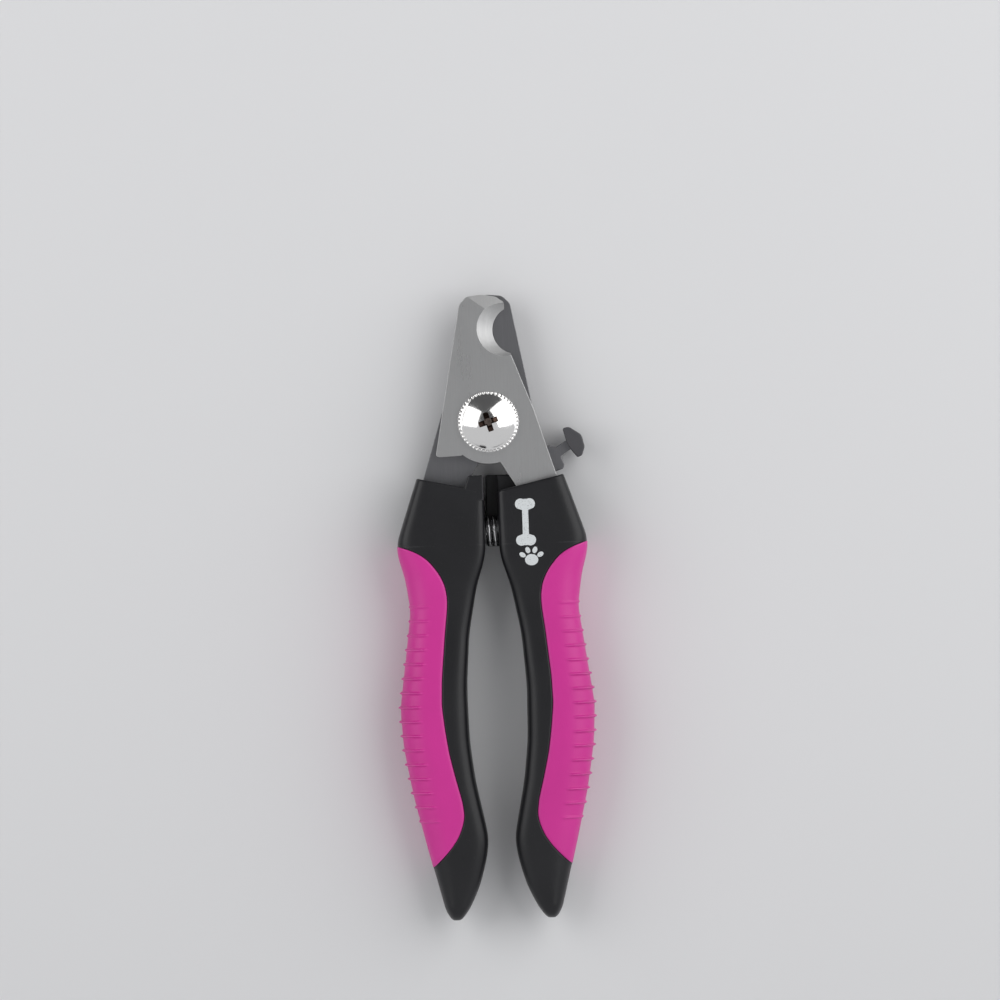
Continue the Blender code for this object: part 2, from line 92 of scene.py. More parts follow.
# ---------------------------------------------------------------------------------------
# Table and light. A pale sheet of card under the tool, two softboxes left and right, and a
# room that is pale on the handles' side and dark behind the blades.
# ---------------------------------------------------------------------------------------
card = bpy.data.materials.new("pale_card")
card.use_nodes = True
card.node_tree.nodes["Principled BSDF"].inputs["Base Color"].default_value = (0.72, 0.72, 0.73, 1)
card.node_tree.nodes["Principled BSDF"].inputs["Roughness"].default_value = 0.8
table_mesh = bpy.data.meshes.new("table")
table_corners = [(-2.0, -2.0, 0.0), (2.0, -2.0, 0.0), (2.0, 2.0, 0.0), (-2.0, 2.0, 0.0)]
table_mesh.from_pydata(table_corners, [], [(0, 1, 2, 3)])
table_mesh.materials.append(card)
table = bpy.data.objects.new("table", table_mesh)
table.location.z = cad_low.z - 0.0002
bpy.context.scene.collection.objects.link(table)


def wire(tree, kind, settings=None, **links):
    """Add a node; an input, by its name or as i and its number, takes a socket or a value."""
    node = tree.nodes.new(kind)
    for key, value in (settings or {}).items():
        setattr(node, key, value)
    for label, value in links.items():
        numbered = label[0] == "i" and label[1:].isdigit()
        socket = node.inputs[int(label[1:]) if numbered else label.replace("_", " ")]
        if isinstance(value, bpy.types.NodeSocket):
            tree.links.new(value, socket)
        else:
            socket.default_value = value
    return node


room = bpy.data.worlds.new("room")
room.use_nodes = True
sky = room.node_tree
towards = wire(sky, "ShaderNodeSeparateXYZ",
               Vector=wire(sky, "ShaderNodeTexCoord").outputs["Generated"]).outputs["Y"]
brightness = wire(sky, "ShaderNodeMapRange", {"interpolation_type": "SMOOTHSTEP"}, Value=towards,
                  From_Min=0.06, From_Max=-0.06, To_Min=0.10, To_Max=0.62).outputs[0]
sky.links.new(brightness, sky.nodes["Background"].inputs["Strength"])
sky.nodes["Background"].inputs["Color"].default_value = (0.97, 0.98, 1.0, 1)
bpy.context.scene.world = room


def softbox(name, place, width, depth, power):
    """Rectangular area light aimed at the pivot."""
    light = bpy.data.lights.new(name, "AREA")
    light.shape = "RECTANGLE"
    light.size = width
    light.size_y = depth
    light.energy = power
    lamp = bpy.data.objects.new(name, light)
    lamp.location = place
    lamp.rotation_euler = (pivot - Vector(place)).to_track_quat("-Z", "Y").to_euler()
    bpy.context.scene.collection.objects.link(lamp)


softbox("left_softbox", (-0.54, 0.22, 0.48), 0.62, 0.62, 2.3)
softbox("right_softbox", (0.54, 0.30, 0.45), 0.86, 0.95, 4.8)

# ---------------------------------------------------------------------------------------
# Blades. Two stamped stainless plates, the same part turned over, that cross at the pivot.
# Their faces are surface-ground along their length, and the outer face of each jaw is
# hollow-ground to a sharp half-round notch.
# ---------------------------------------------------------------------------------------
gap = 0.06                     # what a close fit shows, in millimetres
plate_low = 0.06               # a plate's inner face, above the plane where the two meet
plate_high = (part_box("front_blade")[1].z - pivot.z) / MM
screw_radius = 2.5
notch_radius = 4.9
notch_centre = (6.35, 18.65)
edge_land = 0.25
hollow_shift = (-2.5, 0.3)     # from the cutting edge to the outer face
hollow_growth = 0.7
hollow_reach = 1.5             # length of its cutter, in terms of the plate above the edge
through = (-2.0, 5.0)          # heights that pass through a plate
beak_start = (0.15, 22.9)      # the flat ground on the beak starts here and falls this way
beak_fall = (0.6, 0.8)
beak_slope = 0.14

# Corners of the blank, anticlockwise: (x, y, radius).
heel = [(-10.97, -6.9, 0.8), (-5.7, -6.7, 0.6)]
lock_heel = [(-10.4, -4.0, 0.3), (-9.2, -4.6, 0.6), (-8.3, -7.0, 0.5), (-5.7, -6.7, 0.6)]
tang = [(5.2, -13.1, 0.6), (6.9, -18.0, 2.0), (7.2, -27.0, 3.0), (8.6, -38.0, 3.0),
        (10.4, -50.0, 1.0), (13.4, -50.0, 1.0), (12.9, -38.0, 3.0), (12.6, -26.0, 3.0),
        (14.3, -13.5, 1.5)]
jaw = [(9.35, 2.35, 3.0), (5.05, 13.7, 0.3), (4.0, 23.0, 0.1), (4.0, 24.3, 1.0),
       (2.3, 25.5, 2.0), (-0.5, 26.0, 4.0), (-3.6, 25.7, 1.8), (-5.2, 24.1, 1.5)]
boss_radius = 8.5

# Each half is drawn in millimetres about the pivot, with +x towards its handle and +z
# towards its own plate. These set it in the model, the left one turned over.
half_places = {
    "right_half": Matrix.Translation(pivot) @ Matrix.Scale(MM, 4),
    "left_half": Matrix.Translation(pivot) @ Matrix.Rotation(math.pi, 4, "Y") @ Matrix.Scale(MM, 4),
}


def rounded(corners, steps=8):
    """Closed outline through (x, y, radius) corners, each eased into an arc."""
    path = []
    for i, (x, y, radius) in enumerate(corners):
        here = Vector((x, y))
        before = Vector(corners[i - 1][:2]) - here
        after = Vector(corners[(i + 1) % len(corners)][:2]) - here
        if radius == 0:
            path.append((x, y))
            continue
        half_angle = before.angle(after) / 2
        reach = min(radius / math.tan(half_angle), 0.45 * before.length, 0.45 * after.length)
        start = here + before.normalized() * reach
        end = here + after.normalized() * reach
        for k in range(steps + 1):
            t = k / steps
            path.append(tuple(start * (1 - t) ** 2 + here * 2 * t * (1 - t) + end * t * t))
    return path


def blank(name, bm):
    """Working object from a bmesh, still in millimetres."""
    bmesh.ops.recalc_face_normals(bm, faces=bm.faces)
    mesh = bpy.data.meshes.new(name)
    bm.to_mesh(mesh)
    bm.free()
    piece = bpy.data.objects.new(name, mesh)
    bpy.context.scene.collection.objects.link(piece)
    return piece


def stamping(name, outline, low, high, burr=0.0):
    """Plate cut from sheet, with the edges of both faces eased by the burr's width."""
    bm = bmesh.new()
    bottom = bm.faces.new([bm.verts.new((x, y, low)) for x, y in outline])
    raised = bmesh.ops.extrude_face_region(bm, geom=[bottom])["geom"]
    lifted = [v for v in raised if isinstance(v, bmesh.types.BMVert)]
    bmesh.ops.translate(bm, verts=lifted, vec=(0.0, 0.0, high - low))
    if burr > 0:
        rims = [e for e in bm.edges if abs(e.verts[0].co.z - e.verts[1].co.z) < 1e-6]
        bmesh.ops.bevel(bm, geom=rims, offset=burr, segments=4, affect="EDGES", profile=0.5,
                        clamp_overlap=True)
    return blank(name, bm)


def drill(radius, low, high, centre=(0.0, 0.0), lean=(0.0, 0.0), growth=0.0, segments=128):
    """Round cutter from one height to another; lean and growth move and widen its top."""
    bm = bmesh.new()
    bmesh.ops.create_cone(bm, cap_ends=True, segments=segments, radius1=radius,
                          radius2=radius + growth, depth=high - low)
    for vertex in bm.verts:
        if vertex.co.z > 0:
            vertex.co += Vector((*lean, 0.0))
    bmesh.ops.translate(bm, verts=bm.verts, vec=(*centre, (low + high) / 2))
    return blank("cutter", bm)


def grinder(start, fall, slope, height):
    """Slab, wider than any jaw, that grinds a flat from a line at this height down one way."""
    down = Vector((*fall, -slope)).normalized()
    across = Vector((-fall[1], fall[0], 0.0))
    bm = bmesh.new()
    bmesh.ops.create_cube(bm, size=2.0)
    bmesh.ops.transform(bm, verts=bm.verts, matrix=Matrix.Translation((0.0, 0.0, 1.0)))
    bmesh.ops.scale(bm, verts=bm.verts, vec=(8.0, 12.0, 2.0))
    turn = Matrix([down, across, down.cross(across)]).transposed().to_4x4()
    bmesh.ops.transform(bm, verts=bm.verts, matrix=Matrix.Translation((*start, height)) @ turn)
    return blank("grinder", bm)


def machined(piece, cutters, operation="DIFFERENCE"):
    """Cut the piece with each cutter, or weld them on, and keep only the result."""
    for cutter in cutters:
        step = piece.modifiers.new("machined", "BOOLEAN")
        step.operation = operation
        step.solver = "MANIFOLD"
        step.object = cutter
    bpy.context.view_layer.update()
    evaluated = piece.evaluated_get(bpy.context.evaluated_depsgraph_get())
    result = bpy.data.meshes.new_from_object(evaluated)
    piece.modifiers.clear()
    piece.data = result
    for cutter in cutters:
        bpy.data.objects.remove(cutter)
    return piece


def fit(piece, body, node, finish, crease=32, half=None):
    """Set a piece in the model: place, shading, finish, body and the node it replaces."""
    place = half_places[half or body]
    piece.data.transform(place)
    if place.determinant() < 0:
        piece.data.flip_normals()
    piece.data.shade_smooth()
    piece.data.set_sharp_from_angle(angle=math.radians(crease))
    weighted = piece.modifiers.new("weighted", "WEIGHTED_NORMAL")
    weighted.keep_sharp = True
    machined(piece, [])        # with no cutters this only applies the modifier
    piece.data.materials.clear()
    piece.data.materials.append(finish)
    if body:
        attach(piece, body)
    if node:
        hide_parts(node)


def node_group(name, inputs, outputs):
    """Empty shader group with named sockets; returns it with its two end nodes."""
    group = bpy.data.node_groups.new(name, "ShaderNodeTree")
    for label, start in inputs:
        kind = "NodeSocketColor" if isinstance(start, tuple) else "NodeSocketFloat"
        socket = group.interface.new_socket(name=label, in_out="INPUT", socket_type=kind)
        socket.default_value = start
    for label, kind in outputs:
        group.interface.new_socket(name=label, in_out="OUTPUT", socket_type=kind)
    return group, group.nodes.new("NodeGroupInput"), group.nodes.new("NodeGroupOutput")


def math_node(tree, operation, first, second=0.0, third=0.0):
    """One Math node, and its output."""
    return wire(tree, "ShaderNodeMath", {"operation": operation}, i0=first, i1=second,
                i2=third).outputs[0]


def object_place(tree):
    """Place on the piece in its own frame."""
    return wire(tree, "ShaderNodeTexCoord").outputs["Object"]


def blend_colours(tree, factor, first, second):
    """One colour Mix node, and its output."""
    mix = tree.nodes.new("ShaderNodeMix")
    mix.data_type = "RGBA"
    for socket, value in ((mix.inputs[0], factor), (mix.inputs[6], first), (mix.inputs[7], second)):
        if isinstance(value, bpy.types.NodeSocket):
            tree.links.new(value, socket)
        else:
            socket.default_value = value
    return mix.outputs[2]


# Ground steel: fine grinding lines along the tool, broader uneven bands from the wheel, and
# faint scratches from use. Faces cut at a slant come off a coarser wheel and are rougher;
# their tint is also pushed darker, a painted shade. It gives a roughness, a tint and a height.
ground_steel, gs_in, gs_out = node_group(
    "ground_steel",
    [("Lines", 5200.0), ("Stretch", 0.035), ("Roughness", 0.3), ("Unevenness", 0.1),
     ("Coarseness", 0.0), ("Light", (0.7, 0.7, 0.7, 1.0)), ("Dark", (0.5, 0.5, 0.5, 1.0))],
    [("Colour", "NodeSocketColor"), ("Roughness", "NodeSocketFloat"),
     ("Height", "NodeSocketFloat")])
spot = object_place(ground_steel)
apart = wire(ground_steel, "ShaderNodeSeparateXYZ", Vector=spot)
along = math_node(ground_steel, "MULTIPLY", apart.outputs["Y"], gs_in.outputs["Stretch"])
lined = wire(ground_steel, "ShaderNodeCombineXYZ", X=apart.outputs["X"], Y=along,
             Z=apart.outputs["Z"]).outputs[0]
lines = wire(ground_steel, "ShaderNodeTexNoise", Vector=lined, Scale=gs_in.outputs["Lines"],
             Detail=3.0, Roughness=0.6).outputs[0]
bands = wire(ground_steel, "ShaderNodeTexNoise", Vector=lined, Scale=900.0, Detail=2.0).outputs[0]
smears = wire(ground_steel, "ShaderNodeTexNoise", Vector=spot, Scale=110.0, Detail=3.0).outputs[0]
worn = math_node(ground_steel, "MULTIPLY_ADD", lines, 0.6,
                 math_node(ground_steel, "MULTIPLY_ADD", bands, 0.5,
                           math_node(ground_steel, "MULTIPLY", smears, 0.5)))
worn = math_node(ground_steel, "SUBTRACT", worn, 0.8)
normal_on = wire(ground_steel, "ShaderNodeTexCoord").outputs["Normal"]
level = math_node(ground_steel, "ABSOLUTE", wire(
    ground_steel, "ShaderNodeSeparateXYZ", Vector=normal_on).outputs["Z"])
slanted = math_node(ground_steel, "MULTIPLY", math_node(
    ground_steel, "MAXIMUM", math_node(ground_steel, "SUBTRACT", 0.97, level), 0.0), 5.0)
slanted = math_node(ground_steel, "MINIMUM", slanted, 1.0)
coarser = math_node(ground_steel, "MULTIPLY_ADD", slanted, gs_in.outputs["Coarseness"],
                    gs_in.outputs["Roughness"])
rough = math_node(ground_steel, "MULTIPLY_ADD", worn, gs_in.outputs["Unevenness"], coarser)
# Slanted faces also lean towards the Dark tint: painted shade that dims the hollow's reflection.
grain_and_painted_shade = math_node(ground_steel, "MULTIPLY_ADD", worn, 1.1, math_node(
    ground_steel, "MULTIPLY_ADD", slanted, gs_in.outputs["Coarseness"], 0.5))
tint = blend_colours(ground_steel, math_node(ground_steel, "MAXIMUM", grain_and_painted_shade, 0.0),
                     gs_in.outputs["Light"], gs_in.outputs["Dark"])
ground_steel.links.new(tint, gs_out.inputs["Colour"])
ground_steel.links.new(rough, gs_out.inputs["Roughness"])
ground_steel.links.new(lines, gs_out.inputs["Height"])

# Edge rub and highlight: where a corner of the piece is sharp, the surface is made brighter,
# partly rubbed wear and partly a painted highlight where the edge catches the light.
edge_rub_and_highlight, er_in, er_out = node_group(
    "edge_rub_and_highlight", [("Width", 0.0003), ("Patchiness", 0.6)], [("Mask", "NodeSocketFloat")])
round_normal = wire(edge_rub_and_highlight, "ShaderNodeBevel", {"samples": 4}, Radius=er_in.outputs["Width"])
true_normal = wire(edge_rub_and_highlight, "ShaderNodeNewGeometry").outputs["Normal"]
facing = wire(edge_rub_and_highlight, "ShaderNodeVectorMath", {"operation": "DOT_PRODUCT"},
              i0=round_normal.outputs[0], i1=true_normal).outputs["Value"]
sharpness = math_node(edge_rub_and_highlight, "MULTIPLY", math_node(edge_rub_and_highlight, "SUBTRACT", 1.0, facing), 4.0)
patches = wire(edge_rub_and_highlight, "ShaderNodeTexNoise", Vector=object_place(edge_rub_and_highlight), Scale=420.0,
               Detail=3.0).outputs[0]
broken = math_node(edge_rub_and_highlight, "SUBTRACT", 1.0, math_node(
    edge_rub_and_highlight, "MULTIPLY", patches, er_in.outputs["Patchiness"]))
rubbed = math_node(edge_rub_and_highlight, "MINIMUM", math_node(edge_rub_and_highlight, "MULTIPLY", sharpness, broken), 1.0)
edge_rub_and_highlight.links.new(rubbed, er_out.inputs["Mask"])


def use_group(tree, group, **values):
    """Place a group in a material with its own values, by socket name."""
    node = tree.nodes.new("ShaderNodeGroup")
    node.node_tree = group
    for label, value in values.items():
        socket = node.inputs[label.replace("_", " ")]
        if isinstance(value, bpy.types.NodeSocket):
            tree.links.new(value, socket)
        else:
            socket.default_value = value
    return node


def bare_material(name, **constants):
    """Material with a Principled shader whose constant sockets are set; returns both."""
    material = bpy.data.materials.new(name)
    material.use_nodes = True
    shader = material.node_tree.nodes["Principled BSDF"]
    for label, value in constants.items():
        shader.inputs[label.replace("_", " ")].default_value = value
    return material, shader


def steel_finish(name, light, dark, roughness, unevenness, bump, lines=5200.0, stretch=0.035,
                 slant_roughness_and_shade=0.0):
    """Ground or drawn steel whose sharp edges are rubbed bright."""
    material, shader = bare_material(name, Metallic=1.0)
    tree = material.node_tree
    grain = use_group(tree, ground_steel, Lines=lines, Stretch=stretch, Roughness=roughness,
                      Unevenness=unevenness, Coarseness=slant_roughness_and_shade, Light=light, Dark=dark)
    rub = use_group(tree, edge_rub_and_highlight, Width=0.00012)
    colour = blend_colours(tree, rub.outputs["Mask"], grain.outputs["Colour"],
                           (0.86, 0.86, 0.86, 1.0))
    tree.links.new(colour, shader.inputs["Base Color"])
    tree.links.new(grain.outputs["Roughness"], shader.inputs["Roughness"])
    relief = wire(tree, "ShaderNodeBump", Height=grain.outputs["Height"], Strength=bump,
                  Distance=0.00002)
    tree.links.new(relief.outputs[0], shader.inputs["Normal"])
    return material


satin_steel = steel_finish("satin_steel", (0.66, 0.66, 0.66, 1), (0.52, 0.52, 0.52, 1),
                           0.30, 0.16, 0.14, slant_roughness_and_shade=0.45)
# The rear blade and the lock lever take the same steel painted much darker: painted shade for where
# they lie behind the front blade.
shade_darkened_steel = steel_finish("shade_darkened_steel", (0.25, 0.25, 0.26, 1), (0.18, 0.18, 0.19, 1),
                          0.36, 0.12, 0.15, slant_roughness_and_shade=0.45)

boss_start = math.atan2(heel[-1][1], heel[-1][0])
boss = [(boss_radius * math.cos(a), boss_radius * math.sin(a), 0.0)
        for a in np.linspace(boss_start, math.radians(-75), 24)]
for name, body, its_heel, finish in (("front_blade", "right_half", heel, satin_steel),
                                     ("rear_blade", "left_half", lock_heel, shade_darkened_steel)):
    blade = stamping(name + "_ground", rounded([*its_heel, *boss, *tang, *jaw], steps=14),
                     plate_low, plate_high, burr=0.09)
    edge = plate_low + edge_land
    cuts = [drill(notch_radius, *through, notch_centre),
            drill(notch_radius, edge, edge + hollow_reach * (plate_high - edge), notch_centre,
                  lean=[hollow_reach * shift for shift in hollow_shift],
                  growth=hollow_reach * hollow_growth),
            grinder(beak_start, beak_fall, beak_slope, plate_high),
            drill(screw_radius + gap, *through)]
    fit(machined(blade, cuts), body, name, finish, crease=10)

# ---------------------------------------------------------------------------------------
# Handles. Each tang is moulded into a hard black handle: a square collar with a socket for
# the spring, a slim waist, a belly for the palm and a drooping tip. A soft pink grip is
# moulded over the outer side, held by a seam that runs round the front and the back.
# ---------------------------------------------------------------------------------------
# Sizes along a handle, as (y, size), from the collar down to the tip.
outer_edge = [(-9, 14.35), (-11, 15.0), (-18, 17.3), (-24.2, 19.5), (-27.4, 19.15),
              (-31, 18.0), (-38, 17.0), (-48, 18.35), (-58, 19.75), (-66, 19.3),
              (-76, 17.6), (-87, 15.0), (-96, 12.75), (-101.4, 11.4)]
inner_edge = [(-9, 1.38), (-26.5, 1.38), (-29.1, 2.0), (-33, 3.4), (-43, 5.3), (-54, 6.1),
              (-65, 5.9), (-73, 5.0), (-80, 3.6), (-85, 2.6), (-89, 3.2), (-95, 4.9),
              (-101.4, 8.2)]
half_depth = [(-9, 6.5), (-26, 6.48), (-38, 5.9), (-52, 6.2), (-62, 6.2), (-75, 5.7), (-90, 4.6),
              (-101.4, 3.6)]
inner_squareness = [(-9, 14), (-24, 12), (-34, 6.5), (-60, 5.2), (-90, 4.2), (-101.4, 3.0)]
outer_squareness = [(-9, 9), (-22, 7), (-30, 3.4), (-60, 2.7), (-85, 2.8), (-101.4, 2.4)]
grip_seam = [(-23.4, 26.0), (-24.7, 19.2), (-25.5, 16.8), (-26.9, 14.2), (-28.1, 12.9),
             (-30.6, 11.0), (-33, 9.9), (-35.5, 9.5), (-38, 9.6), (-42.8, 10.2),
             (-52, 11.1), (-57.5, 11.3), (-62.4, 10.8), (-67.3, 10.1), (-72.2, 9.0),
             (-77.1, 7.75), (-80, 7.4), (-82, 7.8), (-84.5, 8.8), (-86.9, 10.5),
             (-89.4, 12.9), (-90.7, 14.3), (-93.0, 19.0)]
handle_end = -101.4
tip_length = 3.0               # over which the tip closes in
seam_gap = 0.03
collar_start = -22.0           # where the section starts to turn square
collar_top = -14.1             # at the collar's inner face; it rises towards the outside
collar_fullness = 3.3
collar_slope = 0.2276
collar_inside = 1.38


def flowing(points, blur):
    """Smooth curve through sizes given along the handle, as a function of y."""
    step = 0.1
    grid = np.arange(-104.0, -6.0, step)
    straight = np.interp(grid, *np.array(sorted(points), dtype=float).T)
    reach = int(4 * blur / step)
    weights = np.exp(-0.5 * (np.arange(-reach, reach + 1) * step / blur) ** 2)
    padded = np.pad(straight, reach, mode="reflect", reflect_type="odd")
    eased = np.convolve(padded, weights / weights.sum(), mode="valid")
    return lambda y: float(np.interp(y, grid, eased))


outer_at = flowing(outer_edge, 1.3)
inner_at = flowing(inner_edge, 1.5)
depth_at = flowing(half_depth, 3.0)
inner_square_at = flowing(inner_squareness, 2.0)
outer_square_at = flowing(outer_squareness, 2.0)
seam_at = flowing(grip_seam, 0.7)


def collar_share(y):
    """0 below the collar, rising smoothly to 1 at its top."""
    share = np.clip((y - collar_start) / (collar_top - collar_start), 0.0, 1.0)
    return share * share * (3 - 2 * share)


def section_frame(y):
    """Middle, half width, half depth and squareness of the handle's section at y."""
    outside = outer_at(y + collar_share(y) * collar_fullness)
    inside = inner_at(y)
    middle = (inside + outside) / 2
    to_end = np.clip((y - handle_end) / tip_length, 0.0, 1.0)
    shrink = 0.25 + 0.75 * math.sqrt(1 - (1 - to_end) ** 2)
    return (middle, (outside - inside) / 2 * shrink, depth_at(y) * shrink,
            inner_square_at(y), outer_square_at(y))


def section_arc(y, part, samples=480):
    """Points (x, z) of the outline at y, front to back: the core's or grip's share, or all."""
    middle, width, depth, square_in, square_out = section_frame(y)
    reach = np.clip((seam_at(y) - middle) / width, -0.98, 1.0)
    power = square_out if reach > 0 else square_in
    start = math.acos(math.copysign(abs(reach) ** (power / 2), reach))
    turn = {"core": np.linspace(start, 2 * math.pi - start, samples),
            "grip": np.linspace(start, -start, samples),
            "whole": np.linspace(0.0, 2 * math.pi, samples)}[part]
    cosine = np.cos(turn)
    sine = np.sin(turn)
    power = 2 / np.where(cosine > 0, square_out, square_in)
    return np.column_stack([middle + width * np.sign(cosine) * np.abs(cosine) ** power,
                            depth * np.sign(sine) * np.abs(sine) ** power])


def spaced(arc, count, lip):
    """The arc at even steps, with closer ones over the lip at each end; also the distances."""
    steps = np.linalg.norm(np.diff(arc, axis=0), axis=1)
    length = np.concatenate([[0.0], np.cumsum(steps)])
    total = length[-1]
    lip = min(lip, 0.2 * total)
    fine = lip * np.array([0.0, 0.08, 0.2, 0.4, 0.7, 1.0])
    even = np.linspace(lip, total - lip, count)[1:-1]
    at = np.concatenate([fine, even, (total - fine)[::-1]])
    points = np.column_stack([np.interp(at, length, arc[:, k]) for k in (0, 1)])
    return points, np.minimum(at, total - at), lip


def outward(points, part):
    """Unit normals of a front-to-back arc in the section's plane."""
    tangent = np.gradient(points, axis=0)
    normal = np.column_stack([-tangent[:, 1], tangent[:, 0]])
    if part == "core":
        normal = -normal
    size = np.linalg.norm(normal, axis=1, keepdims=True)
    return normal / np.maximum(size, 1e-9)


def loft(name, rings):
    """Closed skin over rings of (x, y, z) points, with an end cap on each side."""
    count = len(rings[0])
    points = np.concatenate(rings)
    faces = []
    for r in range(len(rings) - 1):
        for i in range(count):
            j = (i + 1) % count
            faces.append((r * count + i, r * count + j, (r + 1) * count + j, (r + 1) * count + i))
    faces.append(tuple(range(count)))
    faces.append(tuple(range((len(rings) - 1) * count, len(rings) * count)))
    mesh = bpy.data.meshes.new(name)
    mesh.from_pydata(points.tolist(), [], faces)
    bm = bmesh.new()
    bm.from_mesh(mesh)
    bmesh.ops.remove_doubles(bm, verts=bm.verts, dist=1e-4)
    bmesh.ops.dissolve_degenerate(bm, edges=bm.edges, dist=1e-5)
    return blank(name, bm)


def rolled_edge(distance, lip):
    """How far a surface drops towards a seam, over the lip's width."""
    near = np.clip(1 - distance / max(lip, 1e-6), 0.0, 1.0)
    return lip * (1 - np.sqrt(1 - near ** 2)) * 0.9


def has_seam(y):
    """Whether the grip covers the outer side of the handle at y."""
    middle, width = section_frame(y)[:2]
    return seam_at(y) < middle + width


def keyed(points, y, side):
    """Close a ring along the seam: the core's wall has a key that the grip is moulded round."""
    middle, width = section_frame(y)[:2]
    key = min(0.5, max(0.0, 0.3 * (middle + width - seam_at(y))))
    wall = seam_at(y) + side * seam_gap
    back = points[-1, 1]
    front = points[0, 1]
    return np.vstack([points, [(wall, 0.8 * back), (wall + key, 0.6 * back),
                               (wall + key, 0.6 * front), (wall, 0.8 * front)]])


def core_ring(y, seamed, inset=0.0, rise=0.0):
    """Ring of the black core at y; the collar's top rings slope up to the outside."""
    points, distance, lip = spaced(section_arc(y, "core" if seamed else "whole"), 84, 0.35)
    drop = inset + (rolled_edge(distance, lip) if seamed else 0.0)
    points = points - outward(points, "core") * np.reshape(drop, (-1, 1))
    if seamed:
        points[:, 0] = np.minimum(points[:, 0], seam_at(y) - seam_gap)
        points = keyed(points, y, -1)
    else:
        points = np.vstack([points, np.repeat(points[:1], 4, axis=0)])
    slope = collar_share(y) * collar_slope
    heights = y + rise + slope * (points[:, 0] - collar_inside)
    return np.column_stack([points[:, 0], heights, points[:, 1]])


def core_skin(name):
    """Whole core before its sockets are cut: collar, waist, belly and tip."""
    top_edge = 0.5
    rings = []
    for quarter in np.linspace(math.pi / 2, 0.0, 7):
        inset = top_edge * (1 - math.cos(quarter))
        rings.append(core_ring(collar_top - top_edge, False, inset, top_edge * math.sin(quarter)))
    stations = np.concatenate([
        np.arange(collar_top - 0.9, -23.0, -0.45), np.arange(-23.0, -29.0, -0.08),
        np.arange(-29.0, -87.0, -0.5), np.arange(-87.0, -92.0, -0.08),
        np.arange(-92.0, handle_end + tip_length, -0.4),
        handle_end + tip_length * (1 - np.sin(np.linspace(0.0, math.pi / 2, 14)))])
    # Where the grip begins and ends the wall under it starts and stops at once.
    was_seamed = False
    for y in stations:
        if has_seam(y) != was_seamed:
            rings.append(core_ring(y, was_seamed))
        was_seamed = has_seam(y)
        rings.append(core_ring(y, was_seamed))
    return loft(name, rings)


# Ribs across the outer side of each grip, worn low at both ends of the row.
rib_pitch = 2.92
first_rib = -37.2
rib_count = 16
rib_height = 0.55
rib_half_width = 0.40
rib_reach = 4.3                # how far a rib runs in from the outer edge


def rib_relief(y, points):
    """Height of the ribs at each point of a grip's ring."""
    nearest = round((first_rib - y) / rib_pitch)
    if not 0 <= nearest < rib_count:
        return np.zeros(len(points))
    along = abs(first_rib - nearest * rib_pitch - y) / rib_half_width
    strength = min(1.0, 0.35 + nearest / 8, 0.35 + (rib_count - nearest) / 5)
    crest = 0.5 + 0.5 * math.cos(math.pi * min(along, 1.0))
    edge = points[:, 0].max()
    inward = np.clip((points[:, 0] - edge + rib_reach) / 0.9, 0.0, 1.0)
    return rib_height * strength * crest * inward * inward * (3 - 2 * inward)


def grip_ring(y):
    """Ring of the pink grip at y: it stands a little proud of the core."""
    points, distance, lip = spaced(section_arc(y, "grip"), 72, 0.4)
    proud = 0.1 * np.clip(distance / 0.8, 0.0, 1.0)
    relief = proud + rib_relief(y, points) - rolled_edge(distance, lip)
    points = points + outward(points, "grip") * relief[:, None]
    points[:, 0] = np.maximum(points[:, 0], seam_at(y) + seam_gap)
    points = keyed(points, y, 1)
    return np.column_stack([points[:, 0], np.full(len(points), y), points[:, 1]])


def grip_skin(name):
    """Whole grip, from where its seam leaves the outer edge to where it comes back."""
    stations = np.concatenate([np.arange(-24.5, -28.0, -0.06), np.arange(-28.0, -36.2, -0.4),
                               np.arange(-36.2, -82.0, -0.13), np.arange(-82.0, -87.5, -0.3),
                               np.arange(-87.5, -91.5, -0.06)])
    return loft(name, [grip_ring(y) for y in stations if has_seam(y)])


# Moulded surface: the fine spark-eroded texture of the mould, slow changes of shade where
# the melt flowed, and a little dust in the texture.
moulded, mo_in, mo_out = node_group(
    "moulded_surface",
    [("Grain", 4200.0), ("Roughness", 0.45), ("Unevenness", 0.12), ("Dust", 0.03),
     ("Colour", (0.02, 0.02, 0.02, 1.0)), ("Shade", (0.03, 0.03, 0.03, 1.0)),
     ("Dust Colour", (0.4, 0.4, 0.4, 1.0))],
    [("Colour", "NodeSocketColor"), ("Roughness", "NodeSocketFloat"),
     ("Height", "NodeSocketFloat")])
place_on = object_place(moulded)
pits = wire(moulded, "ShaderNodeTexNoise", Vector=place_on, Scale=mo_in.outputs["Grain"],
            Detail=2.0, Roughness=0.7).outputs[0]
coarse = wire(moulded, "ShaderNodeTexVoronoi", Vector=place_on, Scale=2600.0).outputs[0]
flow = wire(moulded, "ShaderNodeTexNoise", Vector=place_on, Scale=70.0, Detail=5.0,
            Distortion=0.4).outputs[0]
specks = wire(moulded, "ShaderNodeTexNoise", Vector=place_on, Scale=2300.0, Detail=1.0).outputs[0]
speck_mask = math_node(moulded, "MULTIPLY", math_node(
    moulded, "GREATER_THAN", specks, 0.72), mo_in.outputs["Dust"])
flow_mask = math_node(moulded, "MULTIPLY_ADD", flow, 1.6, -0.3)
body_colour = blend_colours(moulded, flow_mask, mo_in.outputs["Colour"], mo_in.outputs["Shade"])
dusted = blend_colours(moulded, speck_mask, body_colour, mo_in.outputs["Dust Colour"])
matt = math_node(moulded, "MULTIPLY_ADD", math_node(moulded, "SUBTRACT", math_node(
    moulded, "ADD", flow, math_node(moulded, "MULTIPLY", pits, 0.6)), 0.8),
    mo_in.outputs["Unevenness"], mo_in.outputs["Roughness"])
